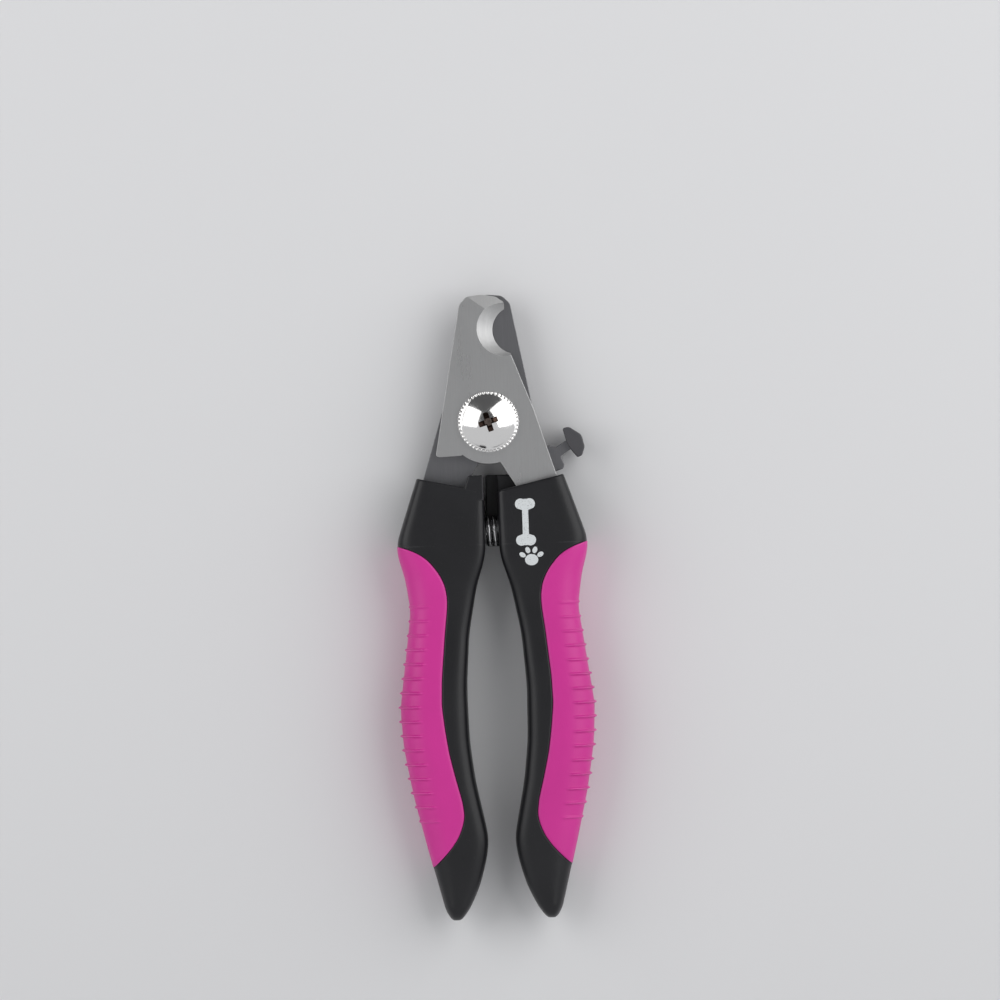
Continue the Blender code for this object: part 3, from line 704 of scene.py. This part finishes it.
relief_of = math_node(moulded, "ADD", pits, math_node(moulded, "MULTIPLY", coarse, 0.5))
moulded.links.new(dusted, mo_out.inputs["Colour"])
moulded.links.new(matt, mo_out.inputs["Roughness"])
moulded.links.new(relief_of, mo_out.inputs["Height"])


def moulded_finish(name, colour, shade, rubbed_and_lit_colour, roughness, bump, grain=4200.0,
                   dust=0.03, rub_width=0.0004, rub_and_highlight_share=0.35, **constants):
    """Moulded plastic or rubber, paler along its edges and rib crests: partly rubbed wear, partly a
    painted highlight.
    """
    material, shader = bare_material(name, **constants)
    tree = material.node_tree
    surface = use_group(tree, moulded, Grain=grain, Roughness=roughness, Dust=dust,
                        Colour=colour, Shade=shade)
    rub = use_group(tree, edge_rub_and_highlight, Width=rub_width, Patchiness=0.8)
    rub_and_highlight_weight = math_node(tree, "MULTIPLY", rub.outputs["Mask"], rub_and_highlight_share)
    colour_out = blend_colours(tree, rub_and_highlight_weight, surface.outputs["Colour"], rubbed_and_lit_colour)
    tree.links.new(colour_out, shader.inputs["Base Color"])
    tree.links.new(surface.outputs["Roughness"], shader.inputs["Roughness"])
    relief = wire(tree, "ShaderNodeBump", Height=surface.outputs["Height"], Strength=bump,
                  Distance=0.00004)
    tree.links.new(relief.outputs[0], shader.inputs["Normal"])
    return material


# Black plastic whose edges are painted paler: partly rubbed wear, partly a painted highlight where
# the collar's edges catch the light.
black_plastic = moulded_finish("black_plastic", (0.006, 0.006, 0.0075, 1),
                               (0.010, 0.010, 0.012, 1), (0.10, 0.10, 0.105, 1), 0.36, 0.3,
                               dust=0.015, rub_width=0.0003, Specular_IOR_Level=0.4)
# Pink rubber whose rib crests and edges are painted much paler: a painted highlight where they catch
# the light, with some rubbed wear.
pink_rubber = moulded_finish("pink_rubber", (0.66, 0.028, 0.31, 1), (0.58, 0.022, 0.27, 1),
                             (0.90, 0.22, 0.58, 1), 0.42, 0.3, grain=3400.0, dust=0.015,
                             rub_width=0.00035, rub_and_highlight_share=0.9, Specular_IOR_Level=0.45)

# The collar's lip round the top of the spring, and the stop tongue at the back of the right
# collar that the left one closes onto. Both end level with the collar's back.
back_face = -6.45
lip_front = -0.1
stop_front = -3.7
lip_corners = [(collar_inside, -16.0, 0.0), (5.3, -16.0, 0.0), (5.3, -13.3, 0.4),
               (4.4, -10.8, 0.5), (collar_inside, -10.8, 0.5)]
slot_corners = [(c[0], c[1]) for c in tang[1:]]
spring_y = -22.2
stop_corners = [(-1.0, -25.4, 0.4), (2.6, -25.4, 0.0), (2.6, -10.8, 0.0), (-1.0, -10.8, 0.4)]
pocket_radius = 3.65
pocket_mouth = -4.0
pocket_floor = 5.9
lever_room = 4.2               # radius of the room for the lever in the right collar
lever_at = (joint_place["lever_pivot"] - pivot) / MM
for side in ("right", "left"):
    body = side + "_half"
    core = core_skin(side + "_core_moulding")
    machined(core, [stamping("lip", rounded(lip_corners), back_face, lip_front, burr=0.45)], "UNION")
    if side == "right":
        stop = stamping("stop", rounded(stop_corners), back_face, stop_front, burr=0.25)
        machined(core, [stop], "UNION")
    slot_outline = [(5.1, -9.0), *slot_corners, (14.4, -9.0)]
    pocket = drill(pocket_radius, pocket_mouth, pocket_floor, segments=64)
    pocket.data.transform(Matrix.Translation((0, spring_y, 0))
                          @ Matrix.Rotation(math.pi / 2, 4, "Y"))
    cuts = [stamping("slot", slot_outline, plate_low - gap, plate_high + gap), pocket]
    if side == "right":
        cuts.append(drill(lever_room, -plate_high - gap, -plate_low + gap, lever_at.xy))
    machined(core, cuts)
    fit(core, body, side + "_handle_core", black_plastic, crease=40)
    grip = grip_skin(side + "_grip_moulding")
    fit(grip, body, side + "_grip", pink_rubber, crease=60)

# ---------------------------------------------------------------------------------------
# Printed mark. A small bone and a paw, pad-printed in white ink on the front of the right
# handle's collar; the ink lies on the plastic and is a little patchy.
# ---------------------------------------------------------------------------------------
ink_height = 0.03
ink_depth = 0.02               # how far the ink's underside is sunk in the plastic


def bone_outline(centre, length, waist, lobe):
    """Bone standing along y: a shaft with two round lobes at each end."""
    quarter = []
    for a in np.linspace(math.radians(-52), math.radians(115), 16):
        quarter.append((0.82 * lobe + lobe * math.cos(a), length / 2 - lobe + lobe * math.sin(a)))
    quarter.insert(0, (waist, 0.0))
    quarter.insert(1, (waist, length / 2 - 2.1 * lobe))
    left_top = [(-x, y) for x, y in quarter[:0:-1]]
    upper = quarter + left_top
    lower = [(-x, -y) for x, y in upper]
    return [(centre[0] + x, centre[1] + y) for x, y in upper + lower]


def oval(centre, wide, high, tilt=0.0, count=28):
    """Oval outline about a centre, turned anticlockwise by tilt in degrees."""
    turn = Matrix.Rotation(math.radians(tilt), 2)
    return [tuple(Vector(centre) + turn @ Vector((wide * math.cos(a), high * math.sin(a))))
            for a in np.linspace(0, 2 * math.pi, count + 1)[:-1]]


def front_height(x, y):
    """Height of the handle's front at a point, in its own half."""
    middle, width, depth, square_in, square_out = section_frame(y)
    power = square_out if x > middle else square_in
    return depth * (1 - abs((x - middle) / width) ** power) ** (1 / power)


paw_pad = (7.9, -28.3)
toe_distance = 2.1
print_outlines = [bone_outline((6.9, -20.6), 9.6, 0.62, 1.12), oval(paw_pad, 1.35, 1.15)]
for toe in (-60, -20, 20, 60):
    angle = math.radians(90 - toe)
    toe_place = (paw_pad[0] + toe_distance * math.cos(angle),
                 paw_pad[1] + toe_distance * math.sin(angle))
    print_outlines.append(oval(toe_place, 0.48, 0.68, -toe))
ink_bm = bmesh.new()
for outline in print_outlines:
    layers = [[ink_bm.verts.new((x, y, front_height(x, y) + lift)) for x, y in outline]
              for lift in (-ink_depth, ink_height)]
    for i in range(len(outline)):
        j = (i + 1) % len(outline)
        ink_bm.faces.new((layers[0][i], layers[0][j], layers[1][j], layers[1][i]))
    for layer in layers:
        ink_bm.faces.new(layer)
white_ink, ink_shader = bare_material("white_ink", Roughness=0.5)
ink_tree = white_ink.node_tree
ink_spots = wire(ink_tree, "ShaderNodeTexNoise", Vector=object_place(ink_tree), Scale=4200.0,
                 Detail=2.0).outputs[0]
ink_cover = wire(ink_tree, "ShaderNodeMapRange", Value=ink_spots, From_Min=0.26, From_Max=0.42)
ink_tree.links.new(blend_colours(ink_tree, ink_cover.outputs[0], (0.34, 0.35, 0.36, 1),
                                 (0.66, 0.69, 0.70, 1)), ink_shader.inputs["Base Color"])
fit(blank("printed_mark", ink_bm), "right_half", None, white_ink)

# ---------------------------------------------------------------------------------------
# Pivot. A chromed screw with a domed head, a milled rim and a cross recess goes through
# both plates, and a conical washer and a thin lock nut hold it on the back.
# ---------------------------------------------------------------------------------------
head_radius = 6.27
dome_radius = 5.55
dome_height = 2.0
rim_height = 1.25
tooth_count = 48
tooth_depth = 0.42
recess_turn = math.radians(17)
thread_pitch = 0.8
thread_depth = 0.28


def turned(name, profile, steps, modelling=None):
    """Turned solid from a (radius, height) profile; modelling may alter each point."""
    rings = []
    for k in range(steps):
        angle = 2 * math.pi * k / steps
        ring = []
        for index, (r, z) in enumerate(profile):
            if modelling:
                r, z = modelling(index, r, z, angle)
            ring.append((r * math.cos(angle), r * math.sin(angle), z))
        rings.append(ring)
    bm = bmesh.new()
    verts = [[bm.verts.new(p) for p in ring] for ring in rings]
    count = len(profile)
    closed = profile[0][0] > 0
    for k in range(steps):
        here = verts[k]
        there = verts[(k + 1) % steps]
        for i in range(count if closed else count - 1):
            j = (i + 1) % count
            bm.faces.new((here[i], here[j], there[j], there[i]))
    bmesh.ops.remove_doubles(bm, verts=bm.verts, dist=1e-5)
    return blank(name, bm)


def cross_outline(arm, half_width):
    """Plus-shaped outline with arms of one length and width."""
    quarter = [(arm, -half_width), (arm, half_width), (half_width, half_width)]
    turns = [Matrix.Rotation(math.pi / 2 * k + recess_turn, 2) for k in range(4)]
    return [tuple(turn @ Vector(point)) for turn in turns for point in quarter]


seat = plate_high
rim_top = seat + rim_height
dome_points = 22
cap_radius = (dome_radius ** 2 + dome_height ** 2) / (2 * dome_height)
head_profile = []
for r in np.linspace(0.0, dome_radius, dome_points):
    sag = cap_radius - math.sqrt(cap_radius ** 2 - r ** 2)
    head_profile.append((r, rim_top + dome_height - sag))
teeth_from = len(head_profile)
head_profile += [(dome_radius + 0.12, rim_top - 0.04), (dome_radius + 0.26, rim_top - 0.02),
                 (head_radius - 0.15, rim_top - 0.1), (head_radius, rim_top - 0.3),
                 (head_radius, seat + 0.3), (head_radius - 0.1, seat + 0.06)]
teeth_to = len(head_profile)
shank_end = (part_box("pivot_screw")[0].z - pivot.z) / MM
head_profile += [(head_radius - 0.4, seat), (screw_radius, seat)]
thread_start = len(head_profile)
thread_points = 40
for z in np.linspace(seat - 0.4, shank_end + 0.45, thread_points):
    head_profile.append((screw_radius, z))
thread_end = len(head_profile)
head_profile += [(screw_radius - 0.45, shank_end), (0.0, shank_end)]


def screw_detail(index, r, z, angle):
    """Milled teeth on the rim, and a thread on the last of the shank."""
    if teeth_from < index < teeth_to:
        wave = min(max(0.9 - 1.5 * math.cos(angle * tooth_count), 0.0), 1.0)
        if z > rim_top - 0.2:
            return r, z - tooth_depth * wave
        return r - tooth_depth * wave, min(z, rim_top - 0.3 - 0.3 * wave)
    if thread_start <= index < thread_end and z < -plate_high:
        wave = 2 * abs((z / thread_pitch - angle / (2 * math.pi)) % 1.0 - 0.5)
        return r - thread_depth * wave, z
    return r, z


chrome, chrome_shader = bare_material("polished_chrome", Metallic=1.0)
chrome_tree = chrome.node_tree
# Polish marks and finger smears on the chrome only change its gloss.
smear = wire(chrome_tree, "ShaderNodeTexNoise", Vector=object_place(chrome_tree), Scale=380.0,
             Detail=5.0, Distortion=1.2).outputs[0]
chrome_rough = wire(chrome_tree, "ShaderNodeMapRange", Value=smear, From_Min=0.4, From_Max=0.75,
                    To_Min=0.10, To_Max=0.20).outputs[0]
chrome_tree.links.new(chrome_rough, chrome_shader.inputs["Roughness"])
chrome_rub = use_group(chrome_tree, edge_rub_and_highlight, Width=0.0001)
rubbed_chrome = blend_colours(chrome_tree, chrome_rub.outputs["Mask"], (0.86, 0.85, 0.84, 1),
                              (0.95, 0.95, 0.94, 1))
# The recess, inside the dome's sphere, is painted dark and brownish: old grease, and painted shade
# in the recess.
dome_centre = pivot + Vector((0.0, 0.0, rim_top + dome_height - cap_radius)) * MM
recess_floor = 6.6             # above the sphere's centre
from_centre = wire(chrome_tree, "ShaderNodeVectorMath", {"operation": "SUBTRACT"},
                   i0=object_place(chrome_tree), i1=dome_centre).outputs[0]
to_centre = wire(chrome_tree, "ShaderNodeVectorMath", {"operation": "LENGTH"},
                 i0=from_centre).outputs["Value"]
height_in = wire(chrome_tree, "ShaderNodeSeparateXYZ", Vector=from_centre).outputs["Z"]
sunk = math_node(chrome_tree, "LESS_THAN", to_centre, (cap_radius - 0.05) * MM)
in_head = math_node(chrome_tree, "GREATER_THAN", height_in, recess_floor * MM)
recess_grease_and_shade = math_node(chrome_tree, "MULTIPLY", sunk, in_head)
grease_and_shade_blot = wire(chrome_tree, "ShaderNodeTexNoise", Vector=object_place(chrome_tree),
                   Scale=1500.0, Detail=3.0).outputs[0]
grease_and_shade_colour = blend_colours(chrome_tree, grease_and_shade_blot, (0.05, 0.035, 0.03, 1), (0.42, 0.34, 0.30, 1))
chrome_tree.links.new(blend_colours(chrome_tree, recess_grease_and_shade, rubbed_chrome, grease_and_shade_colour),
                      chrome_shader.inputs["Base Color"])

screw = turned("pivot_screw_milled", head_profile, tooth_count * 12, screw_detail)
recess_top = seat + rim_height + dome_height + 0.3
levels = [(cross_outline(2.3, 0.62), recess_top), (cross_outline(1.9, 0.52), recess_top - 0.75),
          (cross_outline(0.75, 0.3), recess_top - 2.2)]
recess = loft("recess", [[(x, y, z) for x, y in outline] for outline, z in levels])
machined(screw, [recess])
fit(screw, "right_half", "pivot_screw", chrome, crease=38)

nickel = steel_finish("nickel_plate", (0.66, 0.64, 0.60, 1), (0.56, 0.54, 0.50, 1), 0.22, 0.12,
                      0.1, lines=2600.0, stretch=1.0)
spring_steel = steel_finish("spring_steel", (0.74, 0.74, 0.75, 1), (0.58, 0.58, 0.59, 1), 0.20,
                            0.12, 0.1, lines=3800.0, stretch=0.3)
bore = screw_radius + 0.15
under = -plate_high
washer = turned("spring_washer_pressed",
                [(bore, under - 0.05), (4.4, under - 0.3), (4.68, under - 0.42),
                 (4.7, under - 0.62), (4.55, under - 0.78), (bore, under - 0.5)], 96)
fit(washer, "right_half", "spring_washer", spring_steel)

nut_radius = 4.45              # over its corners
nut_top = under - 0.82
nut_low = nut_top - 1.6
hexagon = [(nut_radius * math.cos(a), nut_radius * math.sin(a), 0.25)
           for a in np.linspace(0, 2 * math.pi, 7)[:-1]]
nut = stamping("pivot_nut_formed", rounded(hexagon), nut_low, nut_top)
chamfer = turned("chamfer", [(0.0, nut_top + 0.9), (3.1, nut_top + 0.9), (4.85, nut_top - 0.35),
                             (4.85, nut_low + 0.3), (3.5, nut_low - 0.5), (0.0, nut_low - 0.5)], 96)
machined(nut, [chamfer], "INTERSECT")
crown_low = -5.95
crown = turned("crown", [(0.0, nut_low + 0.6), (3.8, nut_low + 0.6), (3.8, crown_low + 0.35),
                         (3.7, crown_low + 0.1), (3.5, crown_low), (0.0, crown_low)], 96)
machined(nut, [crown], "UNION")
machined(nut, [drill(bore, -9.0, 0.0, segments=96), drill(3.35, -9.0, nut_low, segments=96)])
fit(nut, "right_half", "pivot_nut", nickel)

white_nylon = moulded_finish("white_nylon", (0.68, 0.68, 0.64, 1), (0.60, 0.60, 0.56, 1),
                             (0.8, 0.8, 0.78, 1), 0.42, 0.2, dust=0.0, Subsurface_Weight=0.1,
                             Subsurface_Scale=0.0006)
insert = turned("nut_insert_ring", [(screw_radius + 0.05, nut_low - 0.02), (3.3, nut_low - 0.02),
                                    (3.3, crown_low + 0.15), (3.1, crown_low + 0.05),
                                    (screw_radius + 0.25, crown_low + 0.05),
                                    (screw_radius + 0.05, crown_low + 0.25)], 96)
fit(insert, "right_half", "nut_insert", white_nylon)

# ---------------------------------------------------------------------------------------
# Return spring. Drawn wire coiled between the collars, with its last turns closed up in
# the two sockets.
# ---------------------------------------------------------------------------------------
coil_radius = 2.7
wire_radius = 0.43
spring_turns = 9.5
wire_sides = 16
steps_per_turn = 40
spring_reach = pocket_floor - 0.3 - wire_radius


def coil_middle(turn):
    """Point on the wire's middle line, this many turns from the left end."""
    closed = 0.9
    free = spring_turns - 2 * closed
    tight = 2 * wire_radius * 1.02
    ends = np.clip(turn, 0.0, closed) + np.clip(turn - closed - free, 0.0, closed)
    open_pitch = (2 * spring_reach - 2 * closed * tight) / free
    x = -spring_reach + ends * tight + np.clip(turn - closed, 0.0, free) * open_pitch
    angle = 2 * math.pi * turn
    return Vector((x, spring_y + coil_radius * math.cos(angle), coil_radius * math.sin(angle)))


spring_rings = []
for k in range(int(spring_turns * steps_per_turn) + 1):
    turn = k / steps_per_turn
    middle = coil_middle(turn)
    forward = (coil_middle(turn + 0.004) - coil_middle(turn - 0.004)).normalized()
    outwards = Vector((0.0, middle.y - spring_y, middle.z)).normalized()
    sideways = forward.cross(outwards).normalized()
    outwards = sideways.cross(forward)
    ring = [middle + wire_radius * (math.cos(a) * outwards + math.sin(a) * sideways)
            for a in np.linspace(0, 2 * math.pi, wire_sides + 1)[:-1]]
    spring_rings.append(np.array([tuple(p) for p in ring]))
coil = loft("return_spring_wire", spring_rings)
fit(coil, None, "return_spring", spring_steel, crease=60, half="right_half")
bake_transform(coil)

# ---------------------------------------------------------------------------------------
# Lock lever. A stamped steel lever on a rivet behind the front blade; its nose keeps the
# rear blade shut, and a black moulded pad on its arm is pushed with the thumb.
# ---------------------------------------------------------------------------------------
lever_corners = [(9.8, -6.2, 0.3), (9.55, -8.6, 1.6), (10.6, -10.9, 1.6), (13.0, -10.6, 0.6),
                 (14.95, -10.0, 0.4), (15.25, -9.2, 0.5), (14.5, -7.5, 0.4), (17.4, -5.5, 0.3),
                 (16.6, -3.7, 0.3), (13.6, -5.6, 0.5), (12.0, -5.1, 0.6)]
pad_corners = [(15.1, -1.75, 0.4), (16.4, -1.5, 1.2), (18.9, -3.2, 1.6), (19.5, -5.6, 1.4),
               (18.9, -7.4, 0.6), (18.0, -7.8, 0.4), (16.0, -5.2, 3.0)]
pad_half_height = 3.5
rivet_radius = 0.9
lever_middle = -(plate_low + plate_high) / 2

lever = stamping("lock_lever_plate", rounded(lever_corners), -plate_high, -plate_low - 0.04,
                 burr=0.16)
machined(lever, [drill(rivet_radius + gap, -5.0, 1.0, lever_at.xy, segments=64)])
# The lever uses the darkened steel: painted shade.
fit(lever, "thumb_lever", "lock_lever", shade_darkened_steel, half="right_half")

black_pad = moulded_finish("black_pad", (0.050, 0.049, 0.055, 1), (0.062, 0.061, 0.067, 1),
                           (0.12, 0.12, 0.12, 1), 0.42, 0.3)
pad = stamping("lever_pad_moulding", rounded(pad_corners), lever_middle - pad_half_height,
               lever_middle + pad_half_height, burr=0.35)
fit(pad, "thumb_lever", "lever_pad", black_pad, crease=50, half="right_half")

lever_washer = turned("lever_washer_pressed",
                      [(rivet_radius + 0.1, -plate_high - 0.05), (2.0, -plate_high - 0.05),
                       (2.1, -plate_high - 0.15), (2.1, -plate_high - 0.4),
                       (2.0, -plate_high - 0.5), (rivet_radius + 0.1, -plate_high - 0.5)], 64)
lever_washer.data.transform(Matrix.Translation((lever_at.x, lever_at.y, 0.0)))
fit(lever_washer, "right_half", "lever_washer", spring_steel)

rivet_head = -plate_high - 0.55
rivet = turned("lever_rivet_headed",
               [(0.0, 1.2), (rivet_radius, 1.2), (rivet_radius, rivet_head), (1.95, rivet_head),
                (2.0, rivet_head - 0.15), (1.9, rivet_head - 0.55), (1.5, rivet_head - 0.9),
                (0.8, rivet_head - 1.15), (0.0, rivet_head - 1.22)], 64)
rivet.data.transform(Matrix.Translation((lever_at.x, lever_at.y, 0.0)))
fit(rivet, "right_half", "lever_rivet", nickel)
